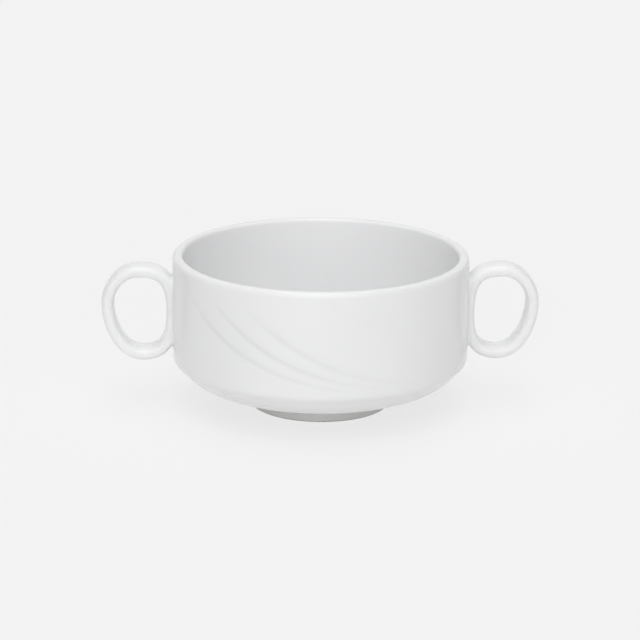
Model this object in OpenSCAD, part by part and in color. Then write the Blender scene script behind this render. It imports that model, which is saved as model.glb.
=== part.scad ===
// Stackable soup bowl in glazed porcelain with two looped side lugs.
// The origin is the centre of the foot, on the surface that the bowl stands on.
// +X runs through the right lug, -Y is the front and +Z is up.

/* [Body] */
// Outer diameter of the straight wall
bowl_d = 108; // [96:1:130]
// Height of the rim above the table
bowl_h = 56.3; // [48:0.1:75]
// Wall thickness at the rim
rim_t = 4; // [3.5:0.1:5.5]
// How much narrower the inside is at the floor than at the rim, on the radius
inner_draft = 0.8; // [0:0.1:2]
// Radius of the rounding on the outside of the rim
lip_outer_r = 1.9; // [1:0.1:2]
// Radius of the rounding on the inside of the rim
lip_inner_r = 1.4; // [0.5:0.1:1.5]
// Thickness of the floor
floor_t = 4.7; // [3.5:0.1:6.5]
// Radius between the inner wall and the floor
well_r = 12; // [6:0.5:16]

/* [Shoulder and underside] */
// Height at which the straight wall ends and the shoulder begins
shoulder_z = 20.7; // [18:0.1:22]
// How far in from the wall's face the crease lies, over the crown of the rim below in a stack
crease_in = 2.5; // [1.5:0.1:3.5]
// Height of that crease
crease_z = 15.2; // [13:0.1:16]
// Slope at which the shoulder arrives at the crease, in degrees
shoulder_slope = 36; // [25:1:45]
// Slope at which the underside leaves the crease, in degrees
underside_slope = 53; // [46:1:65]
// Slope at which the underside arrives at the foot ring, in degrees
foot_slope = 9; // [3:1:14]
// How far the rounding in the crease reaches along either side of it
crease_round = 0.8; // [0.3:0.1:1]

/* [Foot ring] */
// Outer diameter of the foot ring at its top
foot_d = 52.4; // [44:0.1:60]
// Height of the foot ring
foot_h = 7.6; // [6:0.1:9]
// Width of the foot ring at its top
foot_t = 5; // [4:0.1:7]
// How much each side of the ring narrows towards the table
foot_draft = 0.5; // [0.2:0.1:0.8]
// Radius of the roundings beside the standing edge
foot_edge_r = 0.9; // [0.4:0.1:1.2]
// Radius of the fillet where the ring meets the underside
foot_fillet_r = 1.2; // [0.5:0.1:2]

/* [Lugs] */
// How far a lug stands out from the wall
lug_reach = 25.8; // [20:0.1:32]
// How far the top of the loop lies below the rim
lug_below_rim = 3.6; // [3:0.1:6]
// How far the bottom of the loop hangs below the straight wall
lug_hang = 3.8; // [2:0.1:4]
// Height at which the loop is widest, as a share of the loop's height
lug_wide_share = 0.57; // [0.5:0.01:0.64]
// Thickness of the limb, seen from the front
limb_t = 4.7; // [3.5:0.1:6]
// Width of the limb, from front to back
limb_w = 10.8; // [8:0.1:16]
// How far the loop leans outwards at its top
loop_lean = 0.8; // [0:0.1:2]
// Fullness of the limb's section, where 2 is a plain ellipse
limb_fullness = 3; // [2:0.1:4]
// Fullness of the outer half of the loop
outer_fullness = 1.95; // [1.8:0.05:2.4]
// Fullness of the half of the loop that lies on the wall
inner_fullness = 2.7; // [2.2:0.05:3.2]

/* [Slip joints] */
// Thickness of the slip between a lug and the wall
slip_t = 0.6; // [0.3:0.1:1]
// How far the slip shows all round the lug
slip_bead = 0.9; // [0.4:0.1:1.4]

/* [Relief] */
// Width of a groove at the wall's face
groove_w = 2.9; // [1.6:0.1:3.4]
// Depth of the deepest groove
groove_d = 0.35; // [0.2:0.05:0.8]

/* [Hidden] */
$fn = 180;

// How far a cutter runs past what it cuts
overrun = 0.3;

wall_r = bowl_d / 2;
inner_r = wall_r - rim_t;
well_wall_r = inner_r - inner_draft;
crease_r = wall_r - crease_in;
underside_z = foot_h;
floor_z = underside_z + floor_t;
lip_z = bowl_h - lip_outer_r;
foot_r = foot_d / 2;

// The loop's centre line runs up the wall's face and round through the open air
loop_in_x = wall_r;
loop_out_x = wall_r + lug_reach - limb_t / 2;
loop_mid_x = (loop_in_x + loop_out_x) / 2;
loop_half_w = (loop_out_x - loop_in_x) / 2;
lug_top_z = bowl_h - lug_below_rim;
lug_bottom_z = shoulder_z - lug_hang;
lug_wide_z = lug_bottom_z + lug_wide_share * (lug_top_z - lug_bottom_z);
loop_rise = lug_top_z - limb_t / 2 - lug_wide_z;
loop_drop = lug_wide_z - lug_bottom_z - limb_t / 2;

// Steps round a loop, round a limb's section, along a groove and across it
loop_steps = 60;
limb_steps = 24;
groove_steps = 30;
cutter_steps = 8;
// Steps in a quarter turn of an outline and in the shoulder's curve, and in the crease
arc_steps = 8;
crease_steps = 4;

// How far the shoulder's curve keeps on straight down, of the height that it falls
shoulder_pull_share = 0.69;
// How far the underside's curve keeps its direction at the crease and at the foot, of its length
underside_pull_shares = [0.476, 0.1];

// The swept ornament is three grooves that start under the rim and run out side by side above
// the shoulder. Each row holds the start, the bend and the end, as an angle from the front in
// degrees and a share of the straight wall's height, and then the share of the full depth.
groove_shares = [
    [[-70, 1], [-25.5, -0.13], [38, -0.04], 0.9],
    [[-53.5, 1], [-15.5, -0.05], [43, -0.03], 1],
    [[-38.5, 1], [-2, 0.01], [50, -0.04], 0.75]
];
// Stretch at each end over which the cutter is lifted off, as a share of the groove
fade_shares = [0.3, 0.75];

// Points of an arc about centre c, from angle a0 to angle a1
function arc(c, r, a0, a1) =
    [for (i = [0:arc_steps]) let (a = a0 + (a1 - a0) * i / arc_steps) c + r * [cos(a), sin(a)]];

function bezier3(p, t) =
    pow(1 - t, 3) * p[0] + 3 * pow(1 - t, 2) * t * p[1] + 3 * (1 - t) * t * t * p[2] + pow(t, 3) * p[3];

function bezier2(p, t) = pow(1 - t, 2) * p[0] + 2 * (1 - t) * t * p[1] + t * t * p[2];

function along(slope) = [cos(slope), sin(slope)];

// The shoulder's curve from the wall down and in, the rounding in the crease, and the underside
function lower_outline() =
    let (
        wall_end = [wall_r, shoulder_z],
        crease = [crease_r, crease_z],
        pull = shoulder_pull_share * (shoulder_z - crease_z),
        above = crease + crease_round * along(shoulder_slope),
        below = crease - crease_round * along(underside_slope),
        foot_end = [foot_r + foot_fillet_r, underside_z],
        way = norm(crease - foot_end),
        reach = (wall_r - above[0]) / cos(shoulder_slope),
        fall = [wall_end, wall_end - [0, pull], above + reach * along(shoulder_slope), above],
        turn = [above, crease, below],
        run = [
            below,
            crease - underside_pull_shares[0] * way * along(underside_slope),
            foot_end + underside_pull_shares[1] * way * along(foot_slope),
            foot_end
        ]
    )
    concat(
        [for (i = [0:arc_steps]) bezier3(fall, i / arc_steps)],
        [for (i = [1:crease_steps]) bezier2(turn, i / crease_steps)],
        [for (i = [1:arc_steps]) bezier3(run, i / arc_steps)]
    );

// The outside from the rim's top to the underside
function outer_outline() = concat(arc([wall_r - lip_outer_r, lip_z], lip_outer_r, 90, 0), lower_outline());

// The inside from the middle of the floor to the rim's top
function inner_outline() =
    concat(
        [[0, floor_z]],
        arc([well_wall_r - well_r, floor_z + well_r], well_r, -90, 0),
        arc([inner_r + lip_inner_r, bowl_h - lip_inner_r], lip_inner_r, 180, 90)
    );

// Skin of a solid through rings of points, all with as many points
module skin(rings, closed) {
    n = len(rings[0]);
    m = len(rings);
    last = closed ? m - 1 : m - 2;
    sides = [
        for (i = [0:last], j = [0:n - 1])
            let (a = i * n + j, b = i * n + (j + 1) % n, k = ((i + 1) % m) * n)
                for (f = [[a, b, k + (j + 1) % n], [a, k + (j + 1) % n, k + j]]) f
    ];
    ends = closed ? [] : concat(
        [for (j = [1:n - 2]) [0, j + 1, j]],
        [for (j = [1:n - 2]) [(m - 1) * n, (m - 1) * n + j, (m - 1) * n + j + 1]]
    );
    polyhedron(points = [for (r = rings, p = r) p], faces = concat(sides, ends));
}

// Power that keeps the sign, for a rounded square's outline
function signed_pow(v, e) = sign(v) * pow(abs(v), e);

function loop_point(a) =
    let (e = 2 / (cos(a) > 0 ? outer_fullness : inner_fullness), h = sin(a) > 0 ? loop_rise : loop_drop)
    [
        loop_mid_x + loop_half_w * signed_pow(cos(a), e) + loop_lean * sin(a),
        lug_wide_z + h * signed_pow(sin(a), e)
    ];

// One ring of the limb at angle a of the loop, grown on every side
function limb_ring(a, grow) =
    let (
        half_step = 180 / loop_steps,
        d = loop_point(a + half_step) - loop_point(a - half_step),
        out = [d[1], -d[0]] / norm(d),
        c = loop_point(a),
        e = 2 / limb_fullness
    )
    [
        for (j = [0:limb_steps - 1])
            let (
                s = 360 * j / limb_steps,
                u = (limb_t / 2 + grow) * signed_pow(cos(s), e),
                v = (limb_w / 2 + grow) * signed_pow(sin(s), e)
            )
            [c[0] + out[0] * u, v, c[1] + out[1] * u]
    ];

// The whole loop of the right lug, still running into the wall
module loop(grow) {
    skin([for (i = [0:loop_steps - 1]) limb_ring(360 * i / loop_steps, grow)], true);
}

// A lug with its face cut to the wall, less the slip's thickness
module lug() {
    difference() {
        loop(0);
        cylinder(r = wall_r + slip_t, h = bowl_h);
    }
}

// The film of slip that holds a lug, pressed out a little all round
module slip_pad() {
    intersection() {
        loop(slip_bead);
        difference() {
            cylinder(r = wall_r + slip_t, h = bowl_h);
            translate([0, 0, -overrun]) cylinder(r = wall_r, h = bowl_h + 2 * overrun);
        }
    }
}

function wall_point(angle, z, r) = [r * sin(angle), -r * cos(angle), z];

// How far the cutter is lifted at t, as a share of its full reach
function lift_share(t) =
    let (s = min(1, t / fade_shares[0], (1 - t) / fade_shares[1])) 1 - s * s * (3 - 2 * s);

// One ring of a groove's cutter: a parabola that stands out of the wall on both sides
function cutter_ring(row, t) =
    let (
        depth = groove_d * row[3],
        reach = depth + overrun,
        half_w = groove_w / 2 * sqrt(reach / depth),
        unroll = wall_r * PI / 180,
        to_z = lip_z - shoulder_z,
        path = [for (q = [row[0], row[1], row[2]]) [q[0] * unroll, shoulder_z + q[1] * to_z]],
        c = bezier2(path, t),
        d = bezier2(path, t + 1 / groove_steps) - bezier2(path, t - 1 / groove_steps),
        across = [-d[1], d[0]] / norm(d),
        lift = reach * lift_share(t)
    )
    [
        for (j = [0:cutter_steps])
            let (u = 2 * j / cutter_steps - 1, p = c + across * u * half_w)
            wall_point(p[0] / unroll, p[1], wall_r - depth + reach * u * u + lift)
    ];

// The cutters of one side's three grooves
module grooves() {
    for (row = groove_shares)
        skin([for (i = [0:groove_steps]) cutter_ring(row, i / groove_steps)], false);
}

module bowl_body() {
    color("white")
    difference() {
        rotate_extrude() polygon(concat(inner_outline(), outer_outline(), [[0, underside_z]]));
        grooves();
        rotate([0, 0, 180]) grooves();
    }
}

module foot_ring() {
    inner = foot_r - foot_t;
    low_outer = foot_r - foot_draft;
    low_inner = inner + foot_draft;
    color("gainsboro")
    rotate_extrude()
    polygon(concat(
        arc([low_outer - foot_edge_r, foot_edge_r], foot_edge_r, -90, 0),
        arc([foot_r + foot_fillet_r, foot_h - foot_fillet_r], foot_fillet_r, 180, 90),
        arc([inner - foot_fillet_r, foot_h - foot_fillet_r], foot_fillet_r, 90, 0),
        arc([low_inner + foot_edge_r, foot_edge_r], foot_edge_r, 180, 270)
    ));
}

module handle_left() {
    color("white") rotate([0, 0, 180]) lug();
}

module handle_right() {
    color("white") lug();
}

module slip_joint_left() {
    color("whitesmoke") rotate([0, 0, 180]) slip_pad();
}

module slip_joint_right() {
    color("whitesmoke") slip_pad();
}

bowl_body();
foot_ring();
handle_left();
handle_right();
slip_joint_left();
slip_joint_right();
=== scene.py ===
"""Looks of a stackable soup bowl in glazed porcelain with two looped lugs.

The bowl and its foot ring are turned from an outline. The lugs are swept from a loop and a
section. Each slip joint is a fillet fitted between a lug and the wall. Sizes are millimetres
in the classes and become metres where a mesh is made.
"""

import logging
import math
from dataclasses import dataclass, field
from enum import Enum

import bmesh
import bpy
import numpy as np
from mathutils import Matrix, Vector
from mathutils.bvhtree import BVHTree


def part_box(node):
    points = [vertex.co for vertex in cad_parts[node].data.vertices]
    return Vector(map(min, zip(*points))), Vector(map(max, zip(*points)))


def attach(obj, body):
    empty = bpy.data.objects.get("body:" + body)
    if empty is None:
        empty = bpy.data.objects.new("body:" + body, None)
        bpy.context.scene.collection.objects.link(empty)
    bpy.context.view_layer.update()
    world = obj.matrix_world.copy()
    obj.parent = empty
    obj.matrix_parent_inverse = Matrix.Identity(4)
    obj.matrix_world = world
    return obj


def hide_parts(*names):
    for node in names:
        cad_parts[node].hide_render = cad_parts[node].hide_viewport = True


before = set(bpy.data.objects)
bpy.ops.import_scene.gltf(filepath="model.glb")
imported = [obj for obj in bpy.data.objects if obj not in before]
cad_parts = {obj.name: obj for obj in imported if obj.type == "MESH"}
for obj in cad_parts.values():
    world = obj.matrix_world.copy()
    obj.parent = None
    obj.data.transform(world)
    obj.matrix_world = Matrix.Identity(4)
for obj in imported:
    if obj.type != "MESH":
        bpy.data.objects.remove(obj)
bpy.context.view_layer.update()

LOG = logging.getLogger("soup_bowl")
MM = 0.001
FULL_TURN = 2 * math.pi
MERGE_MM = 0.002
SAME_POINT_MM = 0.0001

Point = tuple[float, float]
Colour = tuple[float, float, float]


class Side(Enum):
    """Which side of the bowl a lug is on, as a turn about the upright axis in degrees."""

    RIGHT = 0.0
    LEFT = 180.0


class Slot(Enum):
    """Names for material slots; nothing in this script uses them."""

    BODY = "glazed_porcelain"
    FOOT = "foot_porcelain"
    LUG = "lug_porcelain"
    SLIP = "glazed_slip"


def node_box(node: str) -> tuple[list[float], list[float]]:
    """Gives a node's lowest and highest corners.

    Args:
        node: The node's name in the frame.

    Returns:
        The two corners in millimetres.
    """
    low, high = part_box(node)
    return [v / MM for v in low], [v / MM for v in high]


def deselect() -> None:
    """Leaves edit mode and deselects every object."""
    if bpy.context.object and bpy.context.object.mode != "OBJECT":
        bpy.ops.object.mode_set(mode="OBJECT")
    bpy.ops.object.select_all(action="DESELECT")


def pick(piece: bpy.types.Object) -> None:
    """Makes one object the only selected one and the active one.

    Args:
        piece: The object to work on.
    """
    deselect()
    piece.select_set(True)
    bpy.context.view_layer.objects.active = piece


def apply_modifier(piece: bpy.types.Object, modifier: bpy.types.Modifier) -> None:
    """Applies one modifier to a piece.

    Args:
        piece: The object that carries the modifier.
        modifier: The modifier to apply.
    """
    pick(piece)
    bpy.ops.object.modifier_apply(modifier=modifier.name)


def smooth(piece: bpy.types.Object, angle_deg: float) -> None:
    """Shades a piece smooth, except over edges sharper than an angle.

    Args:
        piece: The object to shade.
        angle_deg: The angle above which an edge stays sharp.
    """
    pick(piece)
    bpy.ops.object.shade_smooth_by_angle(angle=math.radians(angle_deg))


def seal(piece: bpy.types.Object) -> None:
    """Merges a piece's doubled points and turns its faces outwards.

    Args:
        piece: The object to seal.
    """
    pick(piece)
    bpy.ops.object.mode_set(mode="EDIT")
    bpy.ops.mesh.select_all(action="SELECT")
    bpy.ops.mesh.remove_doubles(threshold=MERGE_MM * MM)
    bpy.ops.mesh.normals_make_consistent(inside=False)
    bpy.ops.object.mode_set(mode="OBJECT")


def turn_about_axis(piece: bpy.types.Object, angle_deg: float) -> None:
    """Turns a piece's mesh about the upright axis through the origin.

    Args:
        piece: The object to turn, which stays at the origin.
        angle_deg: The turn in degrees.
    """
    pick(piece)
    piece.rotation_euler = (0.0, 0.0, math.radians(angle_deg))
    bpy.ops.object.transform_apply(location=True, rotation=True, scale=True)


@dataclass
class Outline:
    """Half of a turned section, as points of radius and height in millimetres."""

    points: list[Point] = field(default_factory=list)

    def to(self, radius: float, height: float, step: float = 1.5) -> "Outline":
        """Adds a straight stretch, cut into steps so that its shading stays flat.

        Args:
            radius: Radius of its end.
            height: Height of its end.
            step: Longest step along it.

        Returns:
            The outline itself.
        """
        if not self.points:
            self.points.append((radius, height))
            return self
        r0, z0 = self.points[-1]
        count = max(1, math.ceil(math.hypot(radius - r0, height - z0) / step))
        for i in range(1, count + 1):
            share = i / count
            self.points.append((r0 + (radius - r0) * share, z0 + (height - z0) * share))
        return self

    def arc(self, centre: Point, radii: Point, start: float, end: float, steps: int) -> "Outline":
        """Adds an arc of a circle or an ellipse.

        Args:
            centre: Its centre.
            radii: Its reach along the radius and along the height.
            start: Angle of its first point in degrees.
            end: Angle of its last point in degrees.
            steps: How many steps it has.

        Returns:
            The outline itself.
        """
        for i in range(steps + 1):
            angle = math.radians(start + (end - start) * i / steps)
            point = (centre[0] + radii[0] * math.cos(angle), centre[1] + radii[1] * math.sin(angle))
            if not self.points or math.dist(point, self.points[-1]) > SAME_POINT_MM:
                self.points.append(point)
        return self

    def curve(self, bend_a: Point, bend_b: Point, end: Point, steps: int) -> "Outline":
        """Adds a cubic curve from the last point.

        Args:
            bend_a: The control point that its start heads for.
            bend_b: The control point that its end comes from.
            end: Its last point.
            steps: How many steps it has.

        Returns:
            The outline itself.
        """
        start = self.points[-1]
        for i in range(1, steps + 1):
            t = i / steps
            k = ((1 - t) ** 3, 3 * (1 - t) ** 2 * t, 3 * (1 - t) * t * t, t**3)
            corners = (start, bend_a, bend_b, end)
            self.points.append(tuple(sum(w * c[n] for w, c in zip(k, corners)) for n in (0, 1)))
        return self


def turned(name: str, outline: Outline, steps: int, closed: bool) -> bpy.types.Object:
    """Turns an outline about the upright axis, as on a wheel.

    Args:
        name: Name of the new piece.
        outline: The outline to turn.
        steps: How many steps the turn has.
        closed: Whether the outline comes back to its first point, away from the axis.

    Returns:
        The turned piece, closed and with its faces outwards.
    """
    deselect()
    first = Vector((outline.points[0][0], 0.0, outline.points[0][1])) * MM
    bpy.ops.mesh.primitive_plane_add(size=MM, location=(0.0, 0.0, 0.0))
    piece = bpy.context.object
    piece.name = name
    bpy.ops.object.mode_set(mode="EDIT")
    bpy.ops.mesh.merge(type="CENTER")
    bpy.ops.transform.translate(value=first)
    for (r0, z0), (r1, z1) in zip(outline.points, outline.points[1:]):
        move = Vector((r1 - r0, 0.0, z1 - z0)) * MM
        bpy.ops.mesh.extrude_region_move(TRANSFORM_OT_translate={"value": move})
    bpy.ops.mesh.select_all(action="SELECT")
    if closed:
        bpy.ops.mesh.edge_face_add()
        bpy.ops.mesh.delete(type="ONLY_FACE")
    bpy.ops.object.mode_set(mode="OBJECT")
    turn = piece.modifiers.new("turn", "SCREW")
    turn.angle = FULL_TURN
    turn.steps = turn.render_steps = steps
    turn.use_merge_vertices = True
    turn.merge_threshold = MERGE_MM * MM
    apply_modifier(piece, turn)
    seal(piece)
    return piece


class NodeSheet:
    """A small helper that places and joins the nodes of one material or group."""

    def __init__(self, tree: bpy.types.NodeTree) -> None:
        """Keeps the tree that the nodes go into."""
        self.tree = tree

    def add(self, kind: str, **values: object) -> bpy.types.Node:
        """Adds a node and sets its properties.

        Args:
            kind: The node's type.
            **values: Its properties by name.

        Returns:
            The new node.
        """
        node = self.tree.nodes.new(kind)
        for name, value in values.items():
            setattr(node, name, value)
        return node

    def join(self, source: bpy.types.NodeSocket, target: bpy.types.NodeSocket) -> None:
        """Links one socket to another."""
        self.tree.links.new(source, target)

    def math(self, operation: str, first: object, second: object = None) -> bpy.types.NodeSocket:
        """Adds a math node.

        Args:
            operation: What it does.
            first: Its first input, a socket or a number.
            second: Its second input, a socket, a number or nothing.

        Returns:
            The node's output.
        """
        node = self.add("ShaderNodeMath", operation=operation)
        for socket, value in zip(node.inputs, (first, second)):
            if isinstance(value, bpy.types.NodeSocket):
                self.join(value, socket)
            elif value is not None:
                socket.default_value = value
        return node.outputs[0]

    def noise(
        self, place: bpy.types.NodeSocket, scale: float, detail: float = 2.0
    ) -> bpy.types.NodeSocket:
        """Adds a noise texture.

        Args:
            place: The coordinates that it reads.
            scale: Features per metre.
            detail: Octaves of detail.

        Returns:
            The noise value.
        """
        node = self.add("ShaderNodeTexNoise")
        node.inputs["Scale"].default_value = scale
        node.inputs["Detail"].default_value = detail
        self.join(place, node.inputs["Vector"])
        return node.outputs["Fac"]

    def ramp(self, value: bpy.types.NodeSocket, low: float, high: float) -> bpy.types.NodeSocket:
        """Spreads a stretch of values over 0 to 1, smoothly.

        Args:
            value: The socket to read.
            low: The value that becomes 0.
            high: The value that becomes 1.

        Returns:
            The spread value.
        """
        node = self.add("ShaderNodeMapRange", interpolation_type="SMOOTHSTEP")
        self.join(value, node.inputs["Value"])
        node.inputs["From Min"].default_value = low
        node.inputs["From Max"].default_value = high
        return node.outputs["Result"]

    def blend(
        self, share: bpy.types.NodeSocket, first: object, second: object, data_type: str = "RGBA"
    ) -> bpy.types.NodeSocket:
        """Mixes two colours or two numbers.

        Args:
            share: How much of the second there is.
            first: A socket or a value.
            second: A socket or a value.
            data_type: RGBA for colours or FLOAT for numbers.

        Returns:
            The mixed output.
        """
        node = self.add("ShaderNodeMix", data_type=data_type)
        kind = {"RGBA": "RGBA", "FLOAT": "VALUE"}[data_type]
        slots = [s for s in node.inputs if s.name in ("A", "B") and s.type == kind]
        self.join(share, node.inputs["Factor"])
        for socket, value in zip(slots, (first, second)):
            if isinstance(value, bpy.types.NodeSocket):
                self.join(value, socket)
            else:
                socket.default_value = (*value, 1.0) if data_type == "RGBA" else value
        return next(s for s in node.outputs if s.type == kind)


class SurfaceGroups:
    """The effects that more than one finish uses, each a node group that is built once.

    Scales are features per metre. Ranges are the noise values between which an effect sets in.
    """

    CLOUD_SCALE = 22.0
    DRIFT_RANGE = (0.3, 0.75)
    DRIFT_SHARE = 0.25
    HAZE_RANGE = (0.35, 0.8)
    HAZE_ROUGHNESS = 0.04
    RIPPLE_SCALE = 260.0
    PEEL_SCALE = 1100.0
    PEEL_SHARE = 0.25
    PLAIN_DETAIL = 1.0
    SAND_SCALE = 5200.0
    SAND_DETAIL = 4.0
    SPECK_SCALE = 1900.0
    SPECK_RANGE = (0.66, 0.74)

    def __init__(self) -> None:
        """Builds the groups."""
        self.glaze = self._glaze()
        self.grain = self._grain()

    @staticmethod
    def _socket(tree: bpy.types.NodeTree, name: str, way: str, kind: str) -> None:
        """Adds a named socket to a group."""
        tree.interface.new_socket(name=name, in_out=way, socket_type=f"NodeSocket{kind}")

    def _start(
        self, name: str, ins: dict[str, str], outs: dict[str, str]
    ) -> tuple[bpy.types.NodeTree, NodeSheet, bpy.types.Node, bpy.types.Node]:
        """Starts a group with its sockets.

        Args:
            name: The group's name.
            ins: Input names and kinds.
            outs: Output names and kinds.

        Returns:
            The tree, its sheet, its input node and its output node.
        """
        tree = bpy.data.node_groups.new(name, "ShaderNodeTree")
        for socket, kind in ins.items():
            self._socket(tree, socket, "INPUT", kind)
        for socket, kind in outs.items():
            self._socket(tree, socket, "OUTPUT", kind)
        sheet = NodeSheet(tree)
        return tree, sheet, sheet.add("NodeGroupInput"), sheet.add("NodeGroupOutput")

    def _glaze(self) -> bpy.types.NodeTree:
        """Builds the glaze: its slow change of tone, its pooling, which also paints shade into the
        grooves, and its faint ripple.

        Returns:
            The group.
        """
        tree, sheet, ins, outs = self._start(
            "glaze_surface",
            {"Tone": "Color", "Thick And Shaded Tone": "Color", "Pooling And Shade": "Float", "Gloss": "Float"},
            {"Colour": "Color", "Roughness": "Float", "Height": "Float"},
        )
        place = sheet.add("ShaderNodeTexCoord").outputs["Object"]
        cloud = sheet.noise(place, self.CLOUD_SCALE)
        ripple = sheet.noise(place, self.RIPPLE_SCALE)
        peel = sheet.noise(place, self.PEEL_SCALE, self.PLAIN_DETAIL)
        drift = sheet.math("MULTIPLY", sheet.ramp(cloud, *self.DRIFT_RANGE), self.DRIFT_SHARE)
        # The darker tone comes in with the random drift, which is the glaze's own tone, and with the
        # groove weight, which is partly pooled glaze and partly painted shade in the grooves.
        thick_and_shaded = sheet.math("ADD", ins.outputs["Pooling And Shade"], drift)
        tone = sheet.blend(thick_and_shaded, ins.outputs["Tone"], ins.outputs["Thick And Shaded Tone"])
        sheet.join(tone, outs.inputs["Colour"])
        haze = sheet.math("MULTIPLY", sheet.ramp(cloud, *self.HAZE_RANGE), self.HAZE_ROUGHNESS)
        sheet.join(sheet.math("ADD", ins.outputs["Gloss"], haze), outs.inputs["Roughness"])
        wave = sheet.math("ADD", ripple, sheet.math("MULTIPLY", peel, self.PEEL_SHARE))
        sheet.join(wave, outs.inputs["Height"])
        return tree

    def _grain(self) -> bpy.types.NodeTree:
        """Builds the grain of bare fired clay: fine sand and a few darker specks.

        Returns:
            The group.
        """
        tree, sheet, ins, outs = self._start(
            "bare_clay_grain",
            {"Clay": "Color", "Speck": "Color"},
            {"Colour": "Color", "Height": "Float"},
        )
        place = sheet.add("ShaderNodeTexCoord").outputs["Object"]
        sand = sheet.noise(place, self.SAND_SCALE, self.SAND_DETAIL)
        speckle = sheet.noise(place, self.SPECK_SCALE, self.PLAIN_DETAIL)
        specks = sheet.ramp(speckle, *self.SPECK_RANGE)
        colour = sheet.blend(specks, ins.outputs["Clay"], ins.outputs["Speck"])
        sheet.join(colour, outs.inputs["Colour"])
        sheet.join(sand, outs.inputs["Height"])
        return tree


@dataclass(frozen=True)
class BareEdge:
    """The ground standing edge, where the glaze was wiped off and the fired clay shows."""

    height_mm: float = 0.45
    clay: Colour = (0.66, 0.645, 0.61)
    speck: Colour = (0.5, 0.47, 0.42)
    roughness: float = 0.85
    sand_mm: float = 0.02
    sand_middle: float = 0.5
    sway_scale: float = 420.0
    sway_share: float = 0.25

    def glazed(self, sheet: NodeSheet) -> bpy.types.NodeSocket:
        """Adds the mask of the glaze above the bare edge, with an uneven glaze line.

        Args:
            sheet: Where the nodes go.

        Returns:
            The mask, which is 1 where there is glaze.
        """
        place = sheet.add("ShaderNodeTexCoord").outputs["Object"]
        split = sheet.add("ShaderNodeSeparateXYZ")
        sheet.join(place, split.inputs["Vector"])
        bare, sway = self.height_mm * MM, self.sway_share * self.height_mm * MM
        uneven = sheet.math("MULTIPLY", sheet.noise(place, self.sway_scale), sway)
        height = sheet.math("ADD", split.outputs["Z"], uneven)
        return sheet.ramp(height, bare, bare + sway)


@dataclass(frozen=True)
class GlazeFinish:
    """Clear gloss glaze over white porcelain."""

    name: str
    tone: Colour = (0.91, 0.912, 0.917)
    # The darker tone follows the glaze's random drift, and in and around the grooves it is partly pooled
    # glaze and partly painted shade.
    thick_and_shaded_tone: Colour = (0.842, 0.846, 0.852)
    gloss: float = 0.13
    ior: float = 1.52
    ripple_mm: float = 0.004
    # Names the groove weight that darkens the glaze there, as pooled glaze and painted shade.
    pool_and_shade_attribute: str = ""
    bare_edge: BareEdge | None = None

    def material(self, groups: SurfaceGroups) -> bpy.types.Material:
        """Makes the material.

        Args:
            groups: The shared effects.

        Returns:
            The material, with a bare ground edge where the finish asks for one.
        """
        material = bpy.data.materials.new(self.name)
        material.use_nodes = True
        sheet = NodeSheet(material.node_tree)
        shader = material.node_tree.nodes["Principled BSDF"]
        glaze = sheet.add("ShaderNodeGroup", node_tree=groups.glaze)
        glaze.inputs["Tone"].default_value = (*self.tone, 1.0)
        glaze.inputs["Thick And Shaded Tone"].default_value = (*self.thick_and_shaded_tone, 1.0)
        glaze.inputs["Gloss"].default_value = self.gloss
        # Painted shade: the groove weight darkens and blues the glaze in and around the grooves, besides
        # its pooling.
        if self.pool_and_shade_attribute:
            pooled_shade = sheet.add("ShaderNodeAttribute", attribute_name=self.pool_and_shade_attribute)
            sheet.join(pooled_shade.outputs["Fac"], glaze.inputs["Pooling And Shade"])
        bump = sheet.add("ShaderNodeBump")
        bump.inputs["Distance"].default_value = self.ripple_mm * MM
        sheet.join(glaze.outputs["Height"], bump.inputs["Height"])
        colour, rough, normal = glaze.outputs["Colour"], glaze.outputs["Roughness"], bump.outputs["Normal"]
        if self.bare_edge:
            colour, rough, normal = self._with_bare_edge(sheet, groups, colour, rough, normal)
        sheet.join(colour, shader.inputs["Base Color"])
        sheet.join(rough, shader.inputs["Roughness"])
        sheet.join(normal, shader.inputs["Normal"])
        shader.inputs["IOR"].default_value = self.ior
        return material

    def _with_bare_edge(
        self,
        sheet: NodeSheet,
        groups: SurfaceGroups,
        colour: bpy.types.NodeSocket,
        rough: bpy.types.NodeSocket,
        normal: bpy.types.NodeSocket,
    ) -> tuple[bpy.types.NodeSocket, bpy.types.NodeSocket, bpy.types.NodeSocket]:
        """Lets the glaze end at the bare standing edge.

        Args:
            sheet: Where the nodes go.
            groups: The shared effects.
            colour: The glaze's colour.
            rough: The glaze's roughness.
            normal: The glaze's normal.

        Returns:
            The colour, roughness and normal with the bare edge in them.
        """
        edge = self.bare_edge
        grain = sheet.add("ShaderNodeGroup", node_tree=groups.grain)
        grain.inputs["Clay"].default_value = (*edge.clay, 1.0)
        grain.inputs["Speck"].default_value = (*edge.speck, 1.0)
        glazed = edge.glazed(sheet)
        sand = sheet.add("ShaderNodeBump")
        sand.inputs["Distance"].default_value = edge.sand_mm * MM
        height = sheet.blend(glazed, grain.outputs["Height"], edge.sand_middle, "FLOAT")
        sheet.join(height, sand.inputs["Height"])
        sheet.join(normal, sand.inputs["Normal"])
        mixed = sheet.blend(glazed, grain.outputs["Colour"], colour)
        return mixed, sheet.blend(glazed, edge.roughness, rough, "FLOAT"), sand.outputs["Normal"]


@dataclass(frozen=True)
class Groove:
    """One swept groove, as places on the straight wall.

    A place is an angle from the front in degrees and a share of the straight wall's height.
    """

    start: Point
    bend: Point
    end: Point
    depth_share: float

    def path(self, wall_r: float, low: float, high: float, count: int) -> tuple[np.ndarray, np.ndarray]:
        """Gives points along the groove on the unrolled wall.

        Args:
            wall_r: Radius of the wall.
            low: Height at share 0.
            high: Height at share 1.
            count: How many points.

        Returns:
            The points as arc length and height in millimetres, and their shares of the way.
        """
        t = np.linspace(0.0, 1.0, count)
        k = np.stack([(1 - t) ** 2, 2 * (1 - t) * t, t**2], axis=1)
        corners = np.array([self.start, self.bend, self.end])
        corners[:, 0] *= math.radians(1.0) * wall_r
        corners[:, 1] = low + corners[:, 1] * (high - low)
        return k @ corners, t


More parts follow.
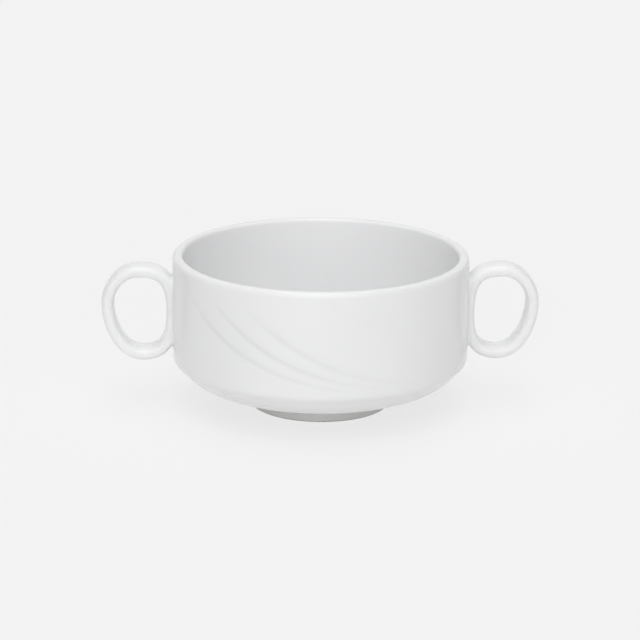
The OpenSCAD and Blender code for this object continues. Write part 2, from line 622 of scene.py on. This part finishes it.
@dataclass
class BowlBody:
    """The pressed body: floor, wall, rim, shoulder, crease and swept grooves.

    The crease is a place, as how far in from the wall's face and how high. Its slopes are those
    of the shoulder above it and of the underside below it. The shoulder's pull is a share of its
    drop to the crease, and the underside's are shares of its way from there to the foot ring. The
    fades are shares of a groove's way, at its start and its end.
    """

    lip_outer_r: float = 1.9
    lip_inner_r: float = 1.4
    rim_t: float = 4.0
    inner_draft: float = 0.8
    floor_t: float = 4.7
    well_r: float = 12.0
    shoulder_z: float = 20.7
    shoulder_pull_share: float = 0.55
    crease: Point = (2.5, 15.2)
    crease_slopes: Point = (44.0, 50.0)
    crease_round: float = 1.6
    underside_pull_shares: Point = (0.476, 0.1)
    foot_slope: float = 9.0
    turn_steps: int = 540
    wall_step: float = 0.52
    inside_step: float = 3.0
    floor_step: float = 5.0
    well_steps: int = 16
    inner_lip_steps: int = 9
    outer_lip_steps: int = 10
    shoulder_steps: int = 18
    crease_steps: int = 6
    underside_steps: int = 26
    sharp_angle: float = 60.0
    groove_depth: float = 0.35
    groove_half_w: float = 1.1
    swell_depth: float = 0.1
    swell_half_w: float = 2.6
    groove_samples: int = 160
    relief_band: float = 1.0
    least_weight: float = 0.002
    # The groove weight is also kept under this name and darkens the glaze there, partly as pooled glaze
    # and partly as painted shade.
    pool_and_shade_attribute: str = "glaze_pool_and_groove_shade"
    fade_shares: Point = (0.3, 0.75)
    grooves: tuple[Groove, ...] = (
        Groove((-70.0, 1.0), (-25.5, -0.13), (38.0, -0.04), 0.9),
        Groove((-53.5, 1.0), (-15.5, -0.05), (43.0, -0.03), 1.0),
        Groove((-38.5, 1.0), (-2.0, 0.01), (50.0, -0.04), 0.75),
    )

    def __post_init__(self) -> None:
        """Reads the sizes that the frame gives."""
        low, high = node_box("bowl_body")
        self.wall_r = high[1]
        self.rim_z = high[2]
        self.underside_z = low[2]
        self.inner_r = self.wall_r - self.rim_t
        self.lip_z = self.rim_z - self.lip_outer_r
        self.foot_end_r = node_box("foot_ring")[1][1]

    def outline(self) -> Outline:
        """Draws the half section, from the middle of the floor round to the underside's middle.

        Returns:
            The open outline, whose ends lie on the axis.
        """
        floor_z = self.underside_z + self.floor_t
        well_wall_r = self.inner_r - self.inner_draft
        well = (well_wall_r - self.well_r, floor_z + self.well_r)
        inner_lip = (self.inner_r + self.lip_inner_r, self.rim_z - self.lip_inner_r)
        outer_lip = (self.wall_r - self.lip_outer_r, self.lip_z)
        line = Outline().to(0.0, floor_z).to(well[0], floor_z, self.floor_step)
        line.arc(well, (self.well_r,) * 2, -90, 0, self.well_steps)
        line.to(self.inner_r, inner_lip[1], self.inside_step)
        line.arc(inner_lip, (self.lip_inner_r,) * 2, 180, 90, self.inner_lip_steps)
        line.to(outer_lip[0], self.rim_z)
        line.arc(outer_lip, (self.lip_outer_r,) * 2, 90, 0, self.outer_lip_steps)
        line.to(self.wall_r, self.shoulder_z, self.wall_step)
        self._lower(line)
        line.to(0.0, self.underside_z, self.inside_step)
        return line

    def _lower(self, line: Outline) -> None:
        """Draws the shoulder, the crease under it and the underside's curve to the foot ring.

        Args:
            line: The outline, which ends at the bottom of the straight wall.
        """
        crease = Vector((self.wall_r - self.crease[0], self.crease[1]))
        slopes = [math.radians(v) for v in (*self.crease_slopes, self.foot_slope)]
        over, under, inwards = (Vector((math.cos(v), math.sin(v))) for v in slopes)
        above, below = crease + self.crease_round * over, crease - self.crease_round * under
        foot_end = Vector((self.foot_end_r, self.underside_z))
        drop = self.shoulder_pull_share * (self.shoulder_z - crease.y)
        reach = (self.wall_r - above.x) / over.x
        bend = above + reach * over
        line.curve((self.wall_r, self.shoulder_z - drop), tuple(bend), tuple(above), self.shoulder_steps)
        third = self.crease_round / 3
        bends = crease + third * over, crease - third * under
        line.curve(tuple(bends[0]), tuple(bends[1]), tuple(below), self.crease_steps)
        way = (crease - foot_end).length
        start, end = (share * way for share in self.underside_pull_shares)
        bends = crease - start * under, foot_end + end * inwards
        line.curve(tuple(bends[0]), tuple(bends[1]), tuple(foot_end), self.underside_steps)

    def _weights(self, places: np.ndarray) -> np.ndarray:
        """Works out how deep the grooves are at places on the wall.

        Args:
            places: Points of the mesh in millimetres.

        Returns:
            The depth at each point, as a share of the deepest.
        """
        depth = np.zeros(len(places))
        angle = np.arctan2(places[:, 0], -places[:, 1])
        for turned_round in (0.0, math.pi):
            arc = (angle + turned_round + math.pi) % FULL_TURN - math.pi
            flat = np.stack([arc * self.wall_r, places[:, 2]], axis=1)
            for groove in self.grooves:
                path, t = groove.path(self.wall_r, self.shoulder_z, self.lip_z, self.groove_samples)
                gap = np.linalg.norm(flat[:, None, :] - path[None, :, :], axis=2)
                near = gap.argmin(axis=1)
                gap, at = gap[np.arange(len(gap)), near], t[near]
                ease = np.clip(np.minimum(at / self.fade_shares[0], (1 - at) / self.fade_shares[1]), 0, 1)
                ease = ease * ease * (3 - 2 * ease) * groove.depth_share
                cut = np.exp(-((gap / self.groove_half_w) ** 2))
                swell = self.swell_depth / self.groove_depth * np.exp(-((gap / self.swell_half_w) ** 2))
                depth = np.maximum(depth, ease * np.maximum(cut, swell))
        return depth

    def _carve(self, piece: bpy.types.Object) -> None:
        """Presses the swept grooves into the wall, by a weight that a Displace modifier reads.

        Args:
            piece: The turned bowl.
        """
        mesh = piece.data
        places = np.empty(len(mesh.vertices) * 3)
        mesh.vertices.foreach_get("co", places)
        places = places.reshape(-1, 3) / MM
        radius = np.hypot(places[:, 0], places[:, 1])
        upright = (places[:, 2] < self.lip_z) & (places[:, 2] > self.crease[1])
        numbers = np.flatnonzero((radius > self.wall_r - self.relief_band) & upright)
        weights = self._weights(places[numbers])
        # The weights are also kept on the mesh. They darken the glaze in and around the grooves, partly as
        # pooled glaze and partly as painted shade.
        pool_and_shade = np.zeros(len(mesh.vertices), dtype=np.float32)
        pool_and_shade[numbers] = weights
        pooled_shade = mesh.attributes.new(self.pool_and_shade_attribute, "FLOAT", "POINT")
        pooled_shade.data.foreach_set("value", pool_and_shade)
        group = piece.vertex_groups.new(name="swept_grooves")
        for number, weight in zip(numbers.tolist(), weights.tolist()):
            if weight > self.least_weight:
                group.add([number], min(1.0, weight), "REPLACE")
        press = piece.modifiers.new("swept grooves", "DISPLACE")
        press.vertex_group = group.name
        press.direction = "NORMAL"
        press.mid_level = 0.0
        press.strength = -self.groove_depth * MM
        apply_modifier(piece, press)

    def build(self, groups: SurfaceGroups) -> bpy.types.Object:
        """Makes the body and dresses it.

        Args:
            groups: The shared effects.

        Returns:
            The finished piece.
        """
        piece = turned("bowl", self.outline(), self.turn_steps, closed=False)
        self._carve(piece)
        smooth(piece, self.sharp_angle)
        finish = GlazeFinish("glazed_porcelain_body", pool_and_shade_attribute=self.pool_and_shade_attribute)
        piece.data.materials.append(finish.material(groups))
        return piece


@dataclass
class FootRing:
    """The foot ring, glazed down to its bare ground standing edge."""

    ring_t: float = 5.0
    draft: float = 0.5
    edge_r: float = 0.9
    fillet_r: float = 1.2
    tone: Colour = (0.895, 0.9, 0.868)
    turn_steps: int = 320
    arc_steps: int = 8
    side_step: float = 0.8
    closing_step: float = 0.5
    sharp_angle: float = 60.0

    def __post_init__(self) -> None:
        """Reads the sizes that the frame gives."""
        low, high = node_box("foot_ring")
        self.top_z = high[2]
        self.base_z = low[2]
        self.outer_r = high[1] - self.fillet_r

    def outline(self) -> Outline:
        """Draws the ring's section, round from the outside of the standing edge.

        Returns:
            The outline without its last stretch, which the turned piece adds.
        """
        inner_r = self.outer_r - self.ring_t
        low_outer = self.outer_r - self.draft - self.edge_r
        low_inner = inner_r + self.draft + self.edge_r
        edge, fillet = (self.edge_r,) * 2, (self.fillet_r,) * 2
        edge_z, fillet_z = self.base_z + self.edge_r, self.top_z - self.fillet_r
        line = Outline().arc((low_outer, edge_z), edge, -90, 0, self.arc_steps)
        line.to(self.outer_r, fillet_z, self.side_step)
        line.arc((self.outer_r + self.fillet_r, fillet_z), fillet, 180, 90, self.arc_steps)
        line.to(inner_r - self.fillet_r, self.top_z)
        line.arc((inner_r - self.fillet_r, fillet_z), fillet, 90, 0, self.arc_steps)
        line.to(low_inner - self.edge_r, edge_z, self.side_step)
        line.arc((low_inner, edge_z), edge, 180, 270, self.arc_steps)
        line.to(low_outer - self.closing_step, self.base_z)
        return line

    def build(self, groups: SurfaceGroups) -> bpy.types.Object:
        """Makes the ring and dresses it.

        Args:
            groups: The shared effects.

        Returns:
            The finished piece.
        """
        piece = turned("foot", self.outline(), self.turn_steps, closed=True)
        smooth(piece, self.sharp_angle)
        finish = GlazeFinish("glazed_porcelain_foot", tone=self.tone, bare_edge=BareEdge())
        piece.data.materials.append(finish.material(groups))
        return piece


@dataclass
class Lug:
    """A looped lug, and the slip fillet that joins it to the wall.

    A fullness says how square a rounded form is, where 2 is an ellipse. The lean is how far the
    loop's top lies further out than its middle, and its bulge is how far that carries the
    outermost limb past its own point. The slip's bed is the part of it that is hidden under the
    wall's skin, and its pad the part between wall and limb.
    """

    wall_r: float
    wide_share: float = 0.57
    limb_t: float = 4.7
    limb_w: float = 10.8
    lean: float = 0.8
    outer_fullness: float = 1.95
    inner_fullness: float = 2.7
    limb_fullness: float = 3.0
    lean_bulge: float = 0.03
    loop_resolution: int = 40
    section_resolution: int = 14
    slip_t: float = 0.6
    fillet: float = 1.5
    fillet_rings: int = 144
    fillet_steps: int = 8
    sink: float = 0.02
    bed_reach: float = 0.5
    bed_depth: float = 0.1
    pad_reach: float = 0.6
    trace_steps: int = 720
    cutter_steps: int = 512
    cutter_height_share: float = 4.0
    sharp_angle: float = 50.0

    def __post_init__(self) -> None:
        """Reads the sizes that the frame gives."""
        low, high = node_box("handle_right")
        self.reach_x = high[0]
        self.low_z = low[2]
        self.top_z = high[2]

    def _section(self) -> bpy.types.Object:
        """Draws the limb's section.

        Returns:
            A closed curve, centred on the origin.
        """
        deselect()
        bpy.ops.curve.primitive_bezier_circle_add(radius=1.0)
        section = bpy.context.object
        half_t, half_w = self.limb_t / 2 * MM, self.limb_w / 2 * MM
        corners = ((-half_t, 0.0), (0.0, half_w), (half_t, 0.0), (0.0, -half_w))
        self._place(section, corners, [(self._pull(self.limb_fullness),) * 2] * 4, 0.0)
        section.data.resolution_u = self.section_resolution
        return section

    @staticmethod
    def _pull(fullness: float) -> float:
        """Gives how far the handles of a quarter reach to its corner.

        The middle of a cubic takes an eighth from each end and three eighths from each handle, and
        the middle of a rounded form lies at the root of a half, of the order of its fullness.

        Args:
            fullness: How square the form is.

        Returns:
            The handles' share of the way to the corner.
        """
        eighth = 1 / 8
        return (0.5 ** (1 / fullness) - 4 * eighth) / (3 * eighth)

    @staticmethod
    def _place(
        curve: bpy.types.Object, corners: tuple[Point, ...], pulls: list[Point], lean: float
    ) -> None:
        """Puts the four points of a closed curve at its left, top, right and bottom.

        Args:
            curve: The curve object.
            corners: The four points.
            pulls: For each point, how far its handles reach back and on, as shares.
            lean: How far the left and right points' handles lean over at the top.
        """
        points = curve.data.splines[0].bezier_points
        mid_x, mid_y = corners[1][0], corners[0][1]
        for i, (point, corner) in enumerate(zip(points, corners)):
            before, after = corners[i - 1], corners[(i + 1) % 4]
            point.handle_left_type = point.handle_right_type = "FREE"
            point.co = (*corner, 0.0)
            ends = []
            for other, pull in ((before, pulls[i][0]), (after, pulls[i][1])):
                if i % 2 == 0:
                    step = (lean * (1 if other[1] > mid_y else -1), other[1] - corner[1])
                else:
                    step = (other[0] - corner[0], 0.0)
                ends.append((corner[0] + pull * step[0], corner[1] + pull * step[1], 0.0))
            point.handle_left, point.handle_right = ends

    def _loop(self) -> bpy.types.Object:
        """Sweeps the section round the loop of the right lug, still running into the wall.

        Returns:
            The loop as a closed mesh.
        """
        section = self._section()
        deselect()
        bpy.ops.curve.primitive_bezier_circle_add(radius=1.0)
        loop = bpy.context.object
        half_t = self.limb_t / 2
        out_x = self.reach_x - half_t - self.lean_bulge
        mid_x = (self.wall_r + out_x) / 2
        wide_z = self.low_z + self.wide_share * (self.top_z - self.low_z)
        corners = tuple(
            (x * MM, z * MM)
            for x, z in (
                (self.wall_r, wide_z),
                (mid_x + self.lean, self.top_z - half_t),
                (out_x, wide_z),
                (mid_x - self.lean, self.low_z + half_t),
            )
        )
        inner, outer = self._pull(self.inner_fullness), self._pull(self.outer_fullness)
        pulls = [(inner, inner), (inner, outer), (outer, outer), (outer, inner)]
        self._place(loop, corners, pulls, self.lean * MM)
        loop.data.dimensions = "2D"
        loop.data.fill_mode = "NONE"
        loop.data.resolution_u = self.loop_resolution
        loop.data.bevel_mode = "OBJECT"
        loop.data.bevel_object = section
        pick(loop)
        bpy.ops.object.convert(target="MESH")
        loop = bpy.context.object
        loop.rotation_euler = (math.pi / 2, 0.0, 0.0)
        bpy.ops.object.transform_apply(location=True, rotation=True, scale=True)
        bpy.data.objects.remove(section)
        seal(loop)
        return loop

    def _cut_to_wall(self, loop: bpy.types.Object) -> None:
        """Cuts the loop's face to the wall, less the slip's thickness.

        Args:
            loop: The whole loop.
        """
        deselect()
        bpy.ops.mesh.primitive_cylinder_add(
            vertices=self.cutter_steps,
            radius=(self.wall_r + self.slip_t) * MM,
            depth=self.cutter_height_share * self.top_z * MM,
        )
        wall = bpy.context.object
        cut = loop.modifiers.new("luting face", "BOOLEAN")
        cut.operation = "DIFFERENCE"
        cut.solver = "EXACT"
        cut.object = wall
        apply_modifier(loop, cut)
        bpy.data.objects.remove(wall)

    def _cast(self, tree: BVHTree, height: float, angle: float) -> Vector | None:
        """Finds the limb's surface along the wall, from inside the limb.

        Args:
            tree: The whole loop's faces.
            height: Height above the wall.
            angle: Direction over the wall, from front-to-back round to up.

        Returns:
            The point on the surface in millimetres, or nothing.
        """
        mid_z = (self.low_z + self.top_z) / 2
        start = Vector((self.wall_r + height, 0.0, mid_z)) * MM
        way = Vector((0.0, math.cos(angle), math.sin(angle)))
        hit = tree.ray_cast(start, way)[0]
        return hit / MM if hit else None

    def _slip(self, tree: BVHTree) -> bpy.types.Object:
        """Fits the slip's fillet between the limb and the wall.

        Its rings follow the line where limb and wall meet, so it is made point by point.

        Args:
            tree: The whole loop's faces.

        Returns:
            The slip piece of the right lug.
        """
        rough = [FULL_TURN * i / self.trace_steps for i in range(self.trace_steps + 1)]
        trace = [self._cast(tree, 0.0, a) for a in rough]
        run = [0.0]
        for a, b in zip(trace, trace[1:]):
            run.append(run[-1] + (b - a).length)
        count = self.fillet_rings
        angles = np.interp(np.linspace(0.0, run[-1], count + 1)[:-1], run, rough)
        roots = [self._cast(tree, 0.0, a) for a in angles]
        heads = [self._cast(tree, self.fillet, a) for a in angles]
        pads = [self._cast(tree, self.slip_t, a) for a in angles]
        rings = []
        for i, (root, head, pad) in enumerate(zip(roots, heads, pads)):
            along = roots[(i + 1) % count] - roots[i - 1]
            outward = Vector((0.0, along.z, -along.y)).normalized()
            rings.append(self._fillet_ring(root, head, pad, outward))
        mesh = bpy.data.meshes.new("slip")
        shell = bmesh.new()
        grid = [[shell.verts.new(p * MM) for p in ring] for ring in rings]
        width = len(grid[0])
        for i in range(count):
            after = grid[(i + 1) % count]
            for j in range(width - 1):
                shell.faces.new((grid[i][j], grid[i][j + 1], after[j + 1], after[j]))
        for j in (0, width - 1):
            shell.faces.new([ring[j] for ring in grid])
        bmesh.ops.triangulate(shell, faces=[f for f in shell.faces if len(f.verts) > 4])
        bmesh.ops.recalc_face_normals(shell, faces=shell.faces)
        shell.to_mesh(mesh)
        shell.free()
        piece = bpy.data.objects.new("slip", mesh)
        bpy.context.collection.objects.link(piece)
        return piece

    def _fillet_ring(self, root: Vector, head: Vector, pad: Vector, outward: Vector) -> list[Vector]:
        """Gives one section of the fillet, from under the wall's skin to inside the limb.

        Args:
            root: Where the limb meets the wall.
            head: Where the fillet ends on the limb.
            pad: The edge of the limb's cut face.
            outward: Direction over the wall, away from the limb.

        Returns:
            The section's points.
        """
        foot = self._on_wall(root + outward * self.fillet, -self.sink)
        bend = self._on_wall(root, 0.0)
        head = head - outward * self.sink
        points = []
        for i in range(self.fillet_steps + 1):
            t = i / self.fillet_steps
            points.append((1 - t) ** 2 * foot + 2 * (1 - t) * t * bend + t * t * head)
        under = self._on_wall(root - outward * self.bed_reach, -self.bed_depth)
        return [under, *points, pad - outward * self.pad_reach]

    def _on_wall(self, point: Vector, height: float) -> Vector:
        """Lays a point over the wall's cylinder, at a height above its face."""
        radius = self.wall_r + height
        return Vector((math.sqrt(radius**2 - point.y**2), point.y, point.z))

    def build(self, groups: SurfaceGroups) -> dict[str, bpy.types.Object]:
        """Makes both lugs and both slip joints and dresses them.

        Args:
            groups: The shared effects.

        Returns:
            The finished pieces by name.
        """
        lug = self._loop()
        tree = BVHTree.FromObject(lug, bpy.context.evaluated_depsgraph_get())
        slip = self._slip(tree)
        self._cut_to_wall(lug)
        glaze = GlazeFinish("glazed_porcelain_lug").material(groups)
        slip_glaze = GlazeFinish("glazed_slip_joint").material(groups)
        pieces = {}
        for name, piece, material in (("lug", lug, glaze), ("slip", slip, slip_glaze)):
            smooth(piece, self.sharp_angle)
            piece.data.materials.append(material)
            for side in Side:
                copy = piece.copy()
                copy.data = piece.data.copy()
                copy.name = f"{name}_{side.name.lower()}"
                bpy.context.collection.objects.link(copy)
                turn_about_axis(copy, side.value)
                pieces[copy.name] = copy
            bpy.data.objects.remove(piece)
        return pieces


@dataclass(frozen=True)
class PhotoCamera:
    """The camera, as the photograph shows it."""

    target_mm: tuple[float, float, float] = (-0.15, 0.0, 30.94)
    distance: float = 1.0
    azimuth: float = -2.4
    elevation: float = 16.5
    roll: float = 0.48
    focal_px: float = 2732.8
    frame_px: float = 640.0
    sensor_mm: float = 36.0
    near_m: float = 0.05

    def place(self) -> None:
        """Makes the camera and makes it the scene's own."""
        data = bpy.data.cameras.new("photo_camera")
        data.sensor_width = self.sensor_mm
        data.lens = self.focal_px / self.frame_px * self.sensor_mm
        data.clip_start = self.near_m
        camera = bpy.data.objects.new("photo_camera", data)
        bpy.context.collection.objects.link(camera)
        a, e = math.radians(self.azimuth), math.radians(self.elevation)
        back = Vector((math.sin(a) * math.cos(e), -math.cos(a) * math.cos(e), math.sin(e)))
        target = Vector(self.target_mm) * MM
        turn = back.to_track_quat("Z", "Y").to_matrix().to_4x4()
        roll = Matrix.Rotation(math.radians(self.roll), 4, "Z")
        camera.matrix_world = Matrix.Translation(target + back * self.distance) @ turn @ roll
        bpy.context.scene.camera = camera


@dataclass(frozen=True)
class SkyGlow:
    """A soft patch of light in the sky, at an azimuth from the front and an elevation."""

    azimuth: float
    elevation: float
    focus: float
    strength: float

    def add(self, sheet: NodeSheet, direction: bpy.types.NodeSocket) -> bpy.types.NodeSocket:
        """Adds the glow's light as seen along a direction.

        Args:
            sheet: Where the nodes go.
            direction: The direction, as a vector of length 1.

        Returns:
            The light.
        """
        a, e = math.radians(self.azimuth), math.radians(self.elevation)
        middle = (math.sin(a) * math.cos(e), -math.cos(a) * math.cos(e), math.sin(e))
        near = sheet.add("ShaderNodeVectorMath", operation="DOT_PRODUCT")
        sheet.join(direction, near.inputs[0])
        near.inputs[1].default_value = middle
        off = sheet.math("SUBTRACT", near.outputs["Value"], 1.0)
        falloff = sheet.math("EXPONENT", sheet.math("MULTIPLY", off, self.focus))
        return sheet.math("MULTIPLY", falloff, self.strength)


@dataclass
class Studio:
    """The pale floor and the soft sky.

    A camera and glass see paper in the place of the sky, and so does a gloss to a share. On the
    floor all three see paper to a share, so that the rest of it keeps the bowl's shadow.
    """

    floor_size: float = 12.0
    sky_paper: Colour = (0.887, 0.887, 0.887)
    floor_paper: Colour = (0.919, 0.919, 0.919)
    floor_tone: Colour = (0.87, 0.87, 0.87)
    floor_paper_share: float = 0.8
    gloss_paper_share: float = 0.35
    glows: tuple[SkyGlow, ...] = (
        SkyGlow(azimuth=0.0, elevation=10.0, focus=3.0, strength=1.12),
        SkyGlow(azimuth=-12.0, elevation=10.0, focus=7.0, strength=0.76),
        SkyGlow(azimuth=0.0, elevation=65.0, focus=50.0, strength=4.2),
        SkyGlow(azimuth=-40.0, elevation=65.0, focus=50.0, strength=0.6),
        SkyGlow(azimuth=0.0, elevation=90.0, focus=14.0, strength=1.5),
        SkyGlow(azimuth=180.0, elevation=76.0, focus=50.0, strength=2.2),
        SkyGlow(azimuth=180.0, elevation=25.0, focus=3.0, strength=0.82),
    )

    def _world(self) -> None:
        """Makes the sky, and the paper that is seen in its place."""
        world = bpy.data.worlds.new("studio")
        bpy.context.scene.world = world
        world.use_nodes = True
        sheet = NodeSheet(world.node_tree)
        direction = sheet.add("ShaderNodeTexCoord").outputs["Generated"]
        first, *others = (glow.add(sheet, direction) for glow in self.glows)
        light = first
        for other in others:
            light = sheet.math("ADD", light, other)
        sky = world.node_tree.nodes["Background"]
        sheet.join(light, sky.inputs["Color"])
        paper = sheet.add("ShaderNodeBackground")
        paper.inputs["Color"].default_value = (*self.sky_paper, 1.0)
        path = sheet.add("ShaderNodeLightPath")
        gloss = sheet.math("MULTIPLY", path.outputs["Is Glossy Ray"], self.gloss_paper_share)
        seen = sheet.math("MAXIMUM", path.outputs["Is Camera Ray"], path.outputs["Is Transmission Ray"])
        mix = sheet.add("ShaderNodeMixShader")
        sheet.join(sheet.math("MAXIMUM", seen, gloss), mix.inputs["Fac"])
        sheet.join(sky.outputs[0], mix.inputs[1])
        sheet.join(paper.outputs[0], mix.inputs[2])
        sheet.join(mix.outputs[0], world.node_tree.nodes["World Output"].inputs["Surface"])

    def _floor(self) -> None:
        """Lays the floor, which keeps the bowl's shadow."""
        deselect()
        bpy.ops.mesh.primitive_plane_add(size=self.floor_size, location=(0.0, 0.0, 0.0))
        floor = bpy.context.object
        floor.name = "floor"
        material = bpy.data.materials.new("floor_paper")
        material.use_nodes = True
        sheet = NodeSheet(material.node_tree)
        shader = material.node_tree.nodes["Principled BSDF"]
        shader.inputs["Base Color"].default_value = (*self.floor_tone, 1.0)
        shader.inputs["Roughness"].default_value = 1.0
        shader.inputs["Specular IOR Level"].default_value = 0.0
        paper = sheet.add("ShaderNodeEmission")
        paper.inputs["Color"].default_value = (*self.floor_paper, 1.0)
        path = sheet.add("ShaderNodeLightPath")
        gloss = sheet.math("MAXIMUM", path.outputs["Is Glossy Ray"], path.outputs["Is Transmission Ray"])
        seen = sheet.math("MAXIMUM", path.outputs["Is Camera Ray"], gloss)
        mix = sheet.add("ShaderNodeMixShader")
        sheet.join(sheet.math("MULTIPLY", seen, self.floor_paper_share), mix.inputs["Fac"])
        sheet.join(shader.outputs[0], mix.inputs[1])
        sheet.join(paper.outputs[0], mix.inputs[2])
        sheet.join(mix.outputs[0], material.node_tree.nodes["Material Output"].inputs["Surface"])
        floor.data.materials.append(material)

    def build(self) -> None:
        """Makes the world and the floor, and sets how colours are shown."""
        self._world()
        self._floor()
        bpy.context.scene.view_settings.view_transform = "Standard"


def hand_over(piece: bpy.types.Object, node: str) -> None:
    """Ties a finished piece to the frame.

    Args:
        piece: The piece.
        node: The frame's node that it stands for.
    """
    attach(piece, "root")
    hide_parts(node)
    LOG.info("%s stands for %s, with %d faces", piece.name, node, len(piece.data.polygons))


def main() -> None:
    """Builds the bowl, its camera and its studio in order."""
    logging.basicConfig(level=logging.INFO, format="%(name)s: %(message)s")
    PhotoCamera().place()
    groups = SurfaceGroups()
    body = BowlBody()
    hand_over(body.build(groups), "bowl_body")
    hand_over(FootRing().build(groups), "foot_ring")
    pieces = Lug(wall_r=body.wall_r).build(groups)
    for side in ("left", "right"):
        hand_over(pieces[f"lug_{side}"], f"handle_{side}")
        hand_over(pieces[f"slip_{side}"], f"slip_joint_{side}")
    Studio().build()


if __name__ == "__main__":
    main()
